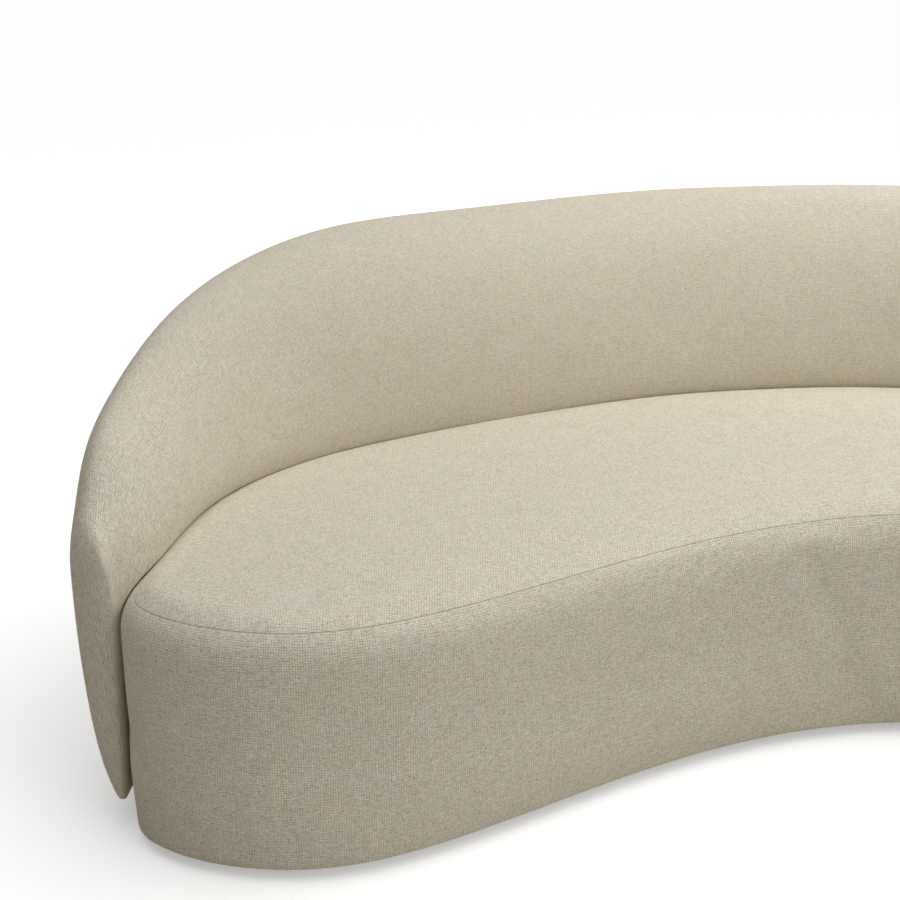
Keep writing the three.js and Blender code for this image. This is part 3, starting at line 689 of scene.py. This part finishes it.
# The outer face from the ridge over the bulge to the low edge
def outerFace(ridgePoint, inside, ridge, top, bulge, roundness):
    cosine, sine = quarterTurn(np.linspace(1, 0, back["upperRows"])[1:], back["upperPower"])
    middle = back["bulgeHeight"]
    upper = zip(ridge + (bulge - ridge) * cosine, middle + (top - middle) * sine)
    low = inside + back["lowWidth"]
    low += (bulge - low) * back["lowShare"]
    angles = np.linspace(0, math.pi / 2, back["lowerRows"])[1:]
    lowEdge = back["lowEdge"] + back["tipRise"] * (1 - roundness)
    lower = zip(low + (bulge - low) * np.cos(angles) ** back["lowerPower"],
                middle - (middle - lowEdge) * np.sin(angles))
    return np.array([ridgePoint, *upper, *lower])


# The section of the back at one distance from an arm's front edge, as a closed loop
def backSection(near, fineRows):
    fromFront = max(0, near + back["lead"])
    place = fromFront + back["bluntness"]
    top, ridge, bulge = [np.interp(place, fineRows[:, 0], fineRows[:, k]) for k in (1, 2, 3)]
    ease = 1 - min(1, fromFront / back["noseReach"])
    roundness = math.sqrt(1 - ease ** 2)
    inside = back["lowGap"] - armTuck(armEdge + near, base["shoulderHeight"])
    inside += back["noseHollow"] * (1 - math.sqrt(1 - ease ** 3))
    ridge = inside + (ridge - inside) * (back["ridgeShare"] + (1 - back["ridgeShare"]) * roundness)
    thinnest = inside + back["frontWidth"]
    bulge = thinnest + (bulge - thinnest) * roundness
    top -= back["noseDrop"] * (1 - roundness)
    inner = innerFace(near, inside, ridge, top, roundness)
    outer = outerFace(inner[-1], inside, ridge, top, bulge, roundness)
    # the outer side gets as many points as the inner one, at the same shares of its length
    innerShares = sectionLengths(inner[::-1])
    outerShares = sectionLengths(outer)
    places = innerShares / innerShares[-1] * outerShares[-1]
    outer = np.stack([np.interp(places, outerShares, outer[:, k]) for k in (0, 1)], -1)[1:]
    under = [outer[-1] + (inner[0] - outer[-1]) * share for share in back["underShares"]]
    return np.array([*inner, *outer, *under, inner[0]])


def makeBack():
    fineRows = backRows()
    noseRun, spacing = back["noseRun"], back["rowSpacing"]
    nose = noseRun * np.linspace(0, 1, back["noseRows"], endpoint=False) ** 2
    nose = nose * (1 + back["lead"] / noseRun) - back["lead"]
    middleCount = round((backLength - 2 * noseRun) / spacing) + 1
    middle = np.linspace(noseRun, backLength - noseRun, middleCount)
    runs = np.concatenate([nose, middle, backLength - nose[::-1]])
    near = np.minimum(runs, backLength - runs)
    sections = np.array([backSection(value, fineRows) for value in near])
    ridgeColumn = np.argmax(sections[0, :, 1])
    steps = np.linalg.norm(np.diff(sections, axis=1), axis=2)
    across = np.concatenate([np.zeros((len(runs), 1)), np.cumsum(steps, axis=1)], axis=1)
    across -= across[:, ridgeColumn:ridgeColumn + 1]
    points, outs = outlineAt(armEdge + runs)
    placed = sweep(points, outs, sections[..., 0], sections[..., 1])
    placed = closeNoses(placed, ridgeColumn)
    runs = np.concatenate([[runs[0]] * 2, runs, [runs[-1]] * 2])
    across = np.vstack([across[:1]] * 2 + [across] + [across[-1:]] * 2)
    piece = gridPiece("backUpholstery", placed, np.stack([weaveRuns(placed, runs), across], -1),
                      row=np.arange(sections.shape[1])[None, :], run=runs[:, None])
    mergeDoubles(piece)
    creaseEnd = len(back["gapHeights"]) + back["creaseRows"] - 1 + len(back["creaseShares"]) - halfRow
    underStart = sections.shape[1] - back["heldUnderRows"] - halfRow
    row = markOf(piece, "row")
    held = (row < creaseEnd) | (row > underStart) | (nearArm(piece) < back["noseReach"])
    puff(piece, held, **back["swellUnder"])
    row = markOf(piece, "row")
    free = (row > creaseEnd) & (row < underStart)
    undulate(piece, back["waves"], free * np.clip(nearArm(piece) / back["waveRun"], 0, 1))
    subdivideSmooth(piece)
    return piece


def nearArm(piece):
    run = markOf(piece, "run")
    return np.minimum(run, backLength - run)


# Along the back the weave follows the run, and round the arm fronts the real length of cloth
def weaveRuns(placed, runs):
    laid = np.tile(runs[:, None], (1, placed.shape[1]))
    steps = np.linalg.norm(np.diff(placed, axis=0), axis=2)
    nose = back["noseRows"] + 1
    for row in range(nose, -1, -1):
        laid[row] = laid[row + 1] - steps[row]
        laid[-row - 1] = laid[-row - 2] + steps[-row - 1]
    return laid


# In front of each arm the two sides draw together in a round edge and then meet
def closeNoses(placed, ridgeColumn):
    columns = placed.shape[1]
    mates = np.clip(2 * ridgeColumn - np.arange(columns), 0, 2 * ridgeColumn)
    ends = []
    for first, second in ((placed[0], placed[1]), (placed[-1], placed[-2])):
        middle = (first + first[mates]) / 2
        ahead = first[ridgeColumn] - second[ridgeColumn]
        ahead = ahead * (1, 1, 0) / np.linalg.norm(ahead[:2])
        nearer, farther = (ahead * step for step in back["noseSteps"])
        narrow = middle + (first - middle) * back["noseNarrowShare"] + nearer
        ends.append((middle + farther, narrow))
    return np.concatenate([[ends[0][0], ends[0][1]], placed, [ends[1][1], ends[1][0]]])


# How strongly the weave shows on each piece: the cloth is stretched smoother along the back
weaveRelief = {"band": 1.0, "seat": 0.85, "back": 0.6, "moreAtArms": 0.5, "armRun": 0.3}


# Ties one upholstered piece to the CAD solids that it stands for
def upholster(piece, relief, nodes):
    shadeSmooth(piece)
    reliefMark = piece.data.attributes.new("relief", "FLOAT", "POINT")
    reliefMark.data.foreach_set("value", np.broadcast_to(relief, len(piece.data.vertices)))
    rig.ride(piece, "root")
    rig.replaces(piece, *nodes)
    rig.slot(piece, "linen")
    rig.padded(piece, fill=0.85)
    print(piece.name, len(piece.data.polygons), "faces")


band = makeBand()
seat = makeSeat()
backWall = makeBack()
atArms = np.exp(-nearArm(backWall) / weaveRelief["armRun"])
backRelief = weaveRelief["back"] + weaveRelief["moreAtArms"] * atArms
upholster(band, weaveRelief["band"], ["band_cover", "band_foam"])
upholster(seat, weaveRelief["seat"], ["seat_cover", "seat_foam"])
upholster(backWall, backRelief, ["back_cover_inside", "back_cover_outside", "back_foam_inside",
                                 "back_foam_outside", "right_arm_foam", "left_arm_foam"])


# Shader maths
# A wrapped socket takes part in sums, and each sum makes its Math node.
class Socket:
    def __init__(self, surface, socket):
        self.surface = surface
        self.socket = socket

    def math(self, operation, *others, swapped=False):
        terms = (*others, self) if swapped else (self, *others)
        return self.surface.node("ShaderNodeMath", {"operation": operation}, *terms)

    def __add__(self, other):
        return self.math("ADD", other)

    def __sub__(self, other):
        return self.math("SUBTRACT", other)

    def __rsub__(self, other):
        return self.math("SUBTRACT", other, swapped=True)

    def __mul__(self, other):
        return self.math("MULTIPLY", other)

    def __truediv__(self, other):
        return self.math("DIVIDE", other)

    def __pow__(self, other):
        return self.math("POWER", other)

    def __abs__(self):
        return self.math("ABSOLUTE")

    __radd__ = __add__
    __rmul__ = __mul__


# The nodes of one material or of the world
class NodeTree:
    def __init__(self, tree):
        self.tree = tree

    def feed(self, socket, value):
        if isinstance(value, Socket):
            self.tree.links.new(value.socket, socket)
        else:
            socket.default_value = value

    # Any node: its type, its settings, its inputs in order and its inputs by name
    def node(self, kind, settings=None, *inputs, output=0, **named):
        made = self.tree.nodes.new(kind)
        for key, value in (settings or {}).items():
            setattr(made, key, value)
        for index, value in enumerate(inputs):
            self.feed(made.inputs[index], value)
        for name, value in named.items():
            self.feed(made.inputs[name.replace("_", " ")], value)
        return Socket(self, made.outputs[output])

    def split(self, vector):
        made = self.tree.nodes.new("ShaderNodeSeparateXYZ")
        self.feed(made.inputs[0], vector)
        return [Socket(self, output) for output in made.outputs]

    # The place on the piece, from its object coordinates
    def place(self):
        return self.split(self.node("ShaderNodeTexCoord", output="Object"))

    def join(self, x, y, z=0.0):
        return self.node("ShaderNodeCombineXYZ", None, x, y, z)

    def noise(self, x, y, z=0.0, detail=2.0):
        return self.node("ShaderNodeTexNoise", None, Vector=self.join(x, y, z), Scale=1.0, Detail=detail)

    def ramp(self, value, low, high, toLow=0.0, toHigh=1.0):
        return self.node("ShaderNodeMapRange", {"interpolation_type": "SMOOTHSTEP"},
                         value, low, high, toLow, toHigh)


class Surface(NodeTree):
    def __init__(self, name, color, roughness):
        self.material = bpy.data.materials.new(name)
        self.material.use_nodes = True
        super().__init__(self.material.node_tree)
        self.shader = self.tree.nodes["Principled BSDF"]
        self.color = color
        self.feed(self.shader.inputs["Base Color"], (*color, 1))
        self.feed(self.shader.inputs["Roughness"], roughness)

    # The base colour times a tone near 1, which each channel may follow by its own power and tint
    def tone(self, value, powers=(1, 1, 1), tints=(1, 1, 1)):
        parts = [value ** power * part * tint for power, part, tint in zip(powers, self.color, tints)]
        self.feed(self.shader.inputs["Base Color"], self.node("ShaderNodeCombineColor", None, *parts))

    def bump(self, height, distance, strength=1.0):
        raised = self.node("ShaderNodeBump", None, Height=height, Distance=distance, Strength=strength)
        self.feed(self.shader.inputs["Normal"], raised)

    def uniform(self, **values):
        for name, value in values.items():
            self.feed(self.shader.inputs[name.replace("_", " ")], value)


# Materials
linen = {
    "color": (0.752, 0.692, 0.563),
    "roughness": 0.9,
    "thread": 0.00185,
    "threadRoundness": 0.5,
    "interlace": 0.5,
    "height": 0.0009,
    "bump": 0.32,
    "wander": 0.0045,
    "wanderSize": 0.014,
    "wanderSeeds": (3.0, 9.0),
    "slubLength": 0.016,
    "slubHeight": 0.7,
    "slubSpread": 5.37,  # sets each thread's noise apart from the next
    "slubSeeds": (1.0, 7.0),
    # from and to, over thread height, then the tones there: painted shade of the weave, darker down between the
    # threads and a touch lighter on their tops
    "weaveGapShade": (0.75, 1.7, 0.8, 1.04),
    "flecks": (0.68, 0.82, 1.0, 0.5),
    # sizes along u and v, seed and detail
    "fleckNoise": (0.0034, 0.0028, 4.0, 0.0),
    "mottleNoise": (0.05, 0.05, 5.0, 4.0),
    "strengthNoise": (0.02, 0.012, 2.0, 1.0),
    "uprightNoise": (0.0038, 0.03, 6.0, 1.0),
    "levelNoise": (0.02, 0.0034, 6.0, 1.0),
    "hueNoise": (0.04, 0.06, 8.0, 2.0),
    "plainTone": 0.46,
    "slubTone": 0.24,
    "mottleTone": 0.12,
    "randomTone": 0.26,
    "streakTone": 0.18,
    "pairMiddle": 0.4,
    "pairTone": 0.06,
    "pairStrength": 0.84,
    "middleTone": 0.82,
    "redHue": 0.07,
    "blueHue": 0.1,
    "warmth": (0.9, 1, 1.22),  # how fast each channel falls where the tone is low, so that the painted shade between threads and the other darker places turn warmer
    "sheen": 0.05,
    "sheenRoughness": 0.5,
    "specular": 0.25,
}


# A weave of paired threads: warp runs along v and weft along u, each passing over and under
def makeLinen():
    surface = Surface("linen", linen["color"], linen["roughness"])
    u, v, _ = surface.split(surface.node("ShaderNodeUVMap", {"uv_map": "weave"}))

    def patches(name):
        sizeU, sizeV, seed, detail = linen[name]
        return surface.noise(u / sizeU, v / sizeV, seed, detail)

    size = linen["wanderSize"]
    driftU, driftV = (surface.noise(u / size, v / size, seed) - 0.5 for seed in linen["wanderSeeds"])
    warpPlace = (u + driftU * linen["wander"]) / linen["thread"]
    weftPlace = (v + driftV * linen["wander"]) / linen["thread"]
    warpWave = (warpPlace * math.pi).math("SINE")
    weftWave = (weftPlace * math.pi).math("SINE")
    warpSide, weftSide = warpWave.math("SIGN"), weftWave.math("SIGN")
    spread, length = linen["slubSpread"], linen["slubLength"]
    warpSeed, weftSeed = linen["slubSeeds"]
    warpSlub = surface.noise(warpPlace.math("FLOOR") * spread, v / length, warpSeed)
    weftSlub = surface.noise(weftPlace.math("FLOOR") * spread, u / length, weftSeed)
    roundness, interlace, slubHeight = linen["threadRoundness"], linen["interlace"], linen["slubHeight"]
    warpHeight = abs(warpWave) ** roundness + warpSide * weftWave * interlace + warpSlub * slubHeight
    weftHeight = abs(weftWave) ** roundness - weftSide * warpWave * interlace + weftSlub * slubHeight
    height = warpHeight.math("MAXIMUM", weftHeight)
    onTop = warpHeight.math("GREATER_THAN", weftHeight)
    slub = warpSlub * onTop + weftSlub * (1 - onTop)
    # painted shade of the weave: the colour darkens where the threads lie low, between them, and lightens a touch on
    # their tops
    weaveGapShade = surface.ramp(height, *linen["weaveGapShade"])
    fleck = surface.ramp(patches("fleckNoise"), *linen["flecks"])
    mottle, strength = patches("mottleNoise"), patches("strengthNoise")
    streak = patches("uprightNoise") + patches("levelNoise")
    halfTurn = math.pi / 2
    pairs = abs((warpPlace * halfTurn).math("SINE")) * abs((weftPlace * halfTurn).math("SINE"))
    knots = (pairs - linen["pairMiddle"]) * (linen["pairTone"] + strength * linen["pairStrength"])
    crossing = surface.join((warpPlace / 2).math("FLOOR"), weftPlace.math("FLOOR"))
    random = surface.node("ShaderNodeTexWhiteNoise", {"noise_dimensions": "2D"}, Vector=crossing)
    threads = linen["plainTone"] + slub * linen["slubTone"] + random * linen["randomTone"]
    threads = threads + mottle * linen["mottleTone"] + streak * linen["streakTone"] + knots
    relief = surface.node("ShaderNodeAttribute", {"attribute_name": "relief"}, output="Fac")
    # the tone carries the painted shade of the weave gaps along with the threads' own colours
    tone = (weaveGapShade * fleck * threads - linen["middleTone"]) * relief + linen["middleTone"]
    hue = patches("hueNoise") - 0.5
    surface.tone(tone, linen["warmth"], (hue * linen["redHue"] + 1, 1, 1 - hue * linen["blueHue"]))
    surface.bump(height * relief, linen["height"], linen["bump"])
    surface.uniform(Sheen_Weight=linen["sheen"], Sheen_Roughness=linen["sheenRoughness"],
                    Specular_IOR_Level=linen["specular"])
    return surface.material


# Wood: long grain with finer fibres, along x
wood = {
    "roughness": 0.62,
    "ringLength": 0.35,
    "fibreLength": 0.03,
    "fibreWidth": 0.0012,
    "plainTone": 0.72,
    "ringTone": 0.4,
    "fibreTone": 0.14,
    "height": 0.0002,
    "bump": 0.4,
}


def makeWood(name, color, grain):
    surface = Surface(name, color, wood["roughness"])
    x, y, z = surface.place()
    rings = surface.noise(x / wood["ringLength"], y / grain, z / grain, 3.0)
    width = wood["fibreWidth"]
    fibres = surface.noise(x / wood["fibreLength"], y / width, z / width)
    surface.tone(wood["plainTone"] + rings * wood["ringTone"] + fibres * wood["fibreTone"])
    surface.bump(fibres, wood["height"], wood["bump"])
    return surface.material


# Woven elastic: ribs along the strap
elastic = {
    "color": (0.045, 0.042, 0.036),
    "roughness": 0.85,
    "ribWidth": 0.004,
    "pickLength": 0.003,
    "plainTone": 0.7,
    "ribTone": 0.2,
    "pickTone": 0.12,
    "pickHeight": 0.5,
    "height": 0.0004,
    "bump": 0.6,
}


def makeElastic():
    surface = Surface("elastic webbing", elastic["color"], elastic["roughness"])
    x, y, _ = surface.place()
    ribs = abs((x / elastic["ribWidth"] * math.pi).math("SINE"))
    picks = abs((y / elastic["pickLength"] * math.pi).math("SINE"))
    surface.tone(elastic["plainTone"] + ribs * elastic["ribTone"] + picks * elastic["pickTone"])
    surface.bump(ribs + picks * elastic["pickHeight"], elastic["height"], elastic["bump"])
    return surface.material


# Fine even grain: the size of the grain, its detail, its share of the tone, its height and bump
grains = {
    "lining": {"size": 0.0015, "detail": 4.0, "share": 0.6, "height": 0.0002, "bump": 0.5},
    "foam": {"size": 0.0012, "detail": 2.0, "share": 0.2, "height": 0.0003, "bump": 0.6},
    "plastic": {"size": 0.0007, "detail": 2.0, "share": 0, "height": 0.00008, "bump": 0.5},
}


def makeGrained(name, color, roughness, grain):
    surface = Surface(name, color, roughness)
    fine = surface.noise(*(place / grain["size"] for place in surface.place()), grain["detail"])
    if grain["share"]:
        surface.tone(1 - grain["share"] / 2 + fine * grain["share"])
    surface.bump(fine, grain["height"], grain["bump"])
    return surface.material


zincSteel = {"color": (0.62, 0.63, 0.64), "spangle": 0.004, "roughness": (0.3, 0.7, 0.28, 0.42)}


def makeZincSteel():
    surface = Surface("zinc plated steel", zincSteel["color"], zincSteel["roughness"][-1])
    spangle = surface.noise(*(place / zincSteel["spangle"] for place in surface.place()), 3.0)
    surface.feed(surface.shader.inputs["Roughness"], surface.ramp(spangle, *zincSteel["roughness"]))
    surface.uniform(Metallic=1.0)
    return surface.material


slotMaterials = {
    "linen": makeLinen(),
    "foam": makeGrained("upholstery foam", (0.8, 0.73, 0.49), 0.95, grains["foam"]),
    "plywood": makeWood("birch plywood", (0.6, 0.4, 0.19), 0.03),
    "softwood": makeWood("spruce wood", (0.69, 0.49, 0.24), 0.012),
    "elastic": makeElastic(),
    "black_cloth": makeGrained("black lining cloth", (0.018, 0.018, 0.019), 0.9, grains["lining"]),
    "black_plastic": makeGrained("black plastic", (0.02, 0.02, 0.021), 0.42, grains["plastic"]),
    "zinc_steel": makeZincSteel(),
}


def dress(piece, material):
    piece.data.materials.clear()
    piece.data.materials.append(material)


for piece in (band, seat, backWall):
    dress(piece, slotMaterials["linen"])
for part in frame["record"]["subparts"]:
    carried = frame["nodes"].get(part["node"])
    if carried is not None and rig.alive(carried):
        dress(carried, slotMaterials[part["material_slot"]])


# Camera
camera = {"lens": 68, "sensor": 36, "tilt": 69.587, "place": (-0.770, -2.082, 1.4538)}

cameraData = bpy.data.cameras.new("camera")
cameraData.lens = camera["lens"]
cameraData.sensor_width = camera["sensor"]
cameraObject = bpy.data.objects.new("camera", cameraData)
scene.collection.objects.link(cameraObject)
cameraObject.location = Vector(camera["place"]) + Vector((0, shiftY, 0))
cameraObject.rotation_euler = (math.radians(camera["tilt"]), 0, 0)
scene.camera = cameraObject

# Light and floor
light = {
    "sky": 0.08,
    "sun": 1.74,
    "sunAngle": 80,
    "sunTilt": (-6, 14),  # towards the front and the right
    "overhead": {"size": 1.6, "power": 17, "place": (0.6, 0.35, 2.35), "aim": (0.6, 0.35, 0)},
    "fill": {"size": 1.8, "power": 21, "place": (1.9, -3.2, 1.6), "aim": (0, -0.1, 0.3)},
    "rear": {"size": 2.2, "power": 20, "place": (-0.4, 4.4, 1.8), "aim": (0, 0.4, 0.3)},
    "floor": 1.0,
    "floorGlow": 0.37,
    "floorBounce": (0.62, 0.595, 0.535),
    "floorRoughness": 0.9,
    "floorSpecular": 0.0,
    "floorSize": 80,
}


# 1 for the rays by which the camera, a shiny face or clear glass sees the backdrop
def seenDirectly(surface):
    kinds = [surface.node("ShaderNodeLightPath", output=kind)
             for kind in ("Is Camera Ray", "Is Glossy Ray", "Is Transmission Ray")]
    return kinds[0].math("MAXIMUM", kinds[1]).math("MAXIMUM", kinds[2])


# Seen directly the floor glows a little, so that it stays white where no shadow falls
def makeFloor():
    deselectAll()
    bpy.ops.mesh.primitive_plane_add(size=light["floorSize"])
    floor = bpy.context.object
    floor.name = "floor"
    roughness, specular = light["floorRoughness"], light["floorSpecular"]
    surface = Surface("pale floor", light["floorBounce"], roughness)
    surface.uniform(Specular_IOR_Level=specular)
    seen = surface.node("ShaderNodeBsdfPrincipled", None, Base_Color=(light["floor"],) * 3 + (1,),
                        Roughness=roughness, Specular_IOR_Level=specular,
                        Emission_Color=(1, 1, 1, 1), Emission_Strength=light["floorGlow"])
    bounce = Socket(surface, surface.shader.outputs[0])
    mixed = surface.node("ShaderNodeMixShader", None, seenDirectly(surface), bounce, seen)
    surface.feed(surface.tree.nodes["Material Output"].inputs["Surface"], mixed)
    dress(floor, surface.material)
    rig.stage(floor)


# The sky lights softly and shows white behind the floor
def makeSky():
    scene.world = bpy.data.worlds.new("studio")
    scene.world.use_nodes = True
    sky = NodeTree(scene.world.node_tree)
    background = sky.tree.nodes["Background"]
    sky.feed(background.inputs["Color"], (1, 1, 1, 1))
    sky.feed(background.inputs["Strength"], sky.ramp(seenDirectly(sky), 0, 1, light["sky"], 1))


def addLight(name, kind, energy):
    lightData = bpy.data.lights.new(name, kind)
    lightData.energy = energy
    lamp = bpy.data.objects.new(name, lightData)
    scene.collection.objects.link(lamp)
    return lamp


def makeLights():
    sun = addLight("wide overhead light", "SUN", light["sun"])
    sun.data.angle = math.radians(light["sunAngle"])
    towardFront, towardRight = light["sunTilt"]
    sun.rotation_euler = (math.radians(-towardFront), math.radians(towardRight), 0)
    for name in ("overhead", "fill", "rear"):
        facts = light[name]
        softbox = addLight(name + " softbox", "AREA", facts["power"])
        softbox.data.size = facts["size"]
        softbox.location = facts["place"]
        toward = Vector(facts["aim"]) - Vector(facts["place"])
        softbox.rotation_euler = toward.to_track_quat("-Z", "Y").to_euler()


makeFloor()
makeSky()
makeLights()
scene.view_settings.view_transform = "Standard"
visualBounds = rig.bounds()
with open("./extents.json", "w") as sizeFile:
    json.dump({"cad": [list(corner) for corner in cadBounds],
               "visual": [list(corner) for corner in visualBounds]}, sizeFile)
print("done")
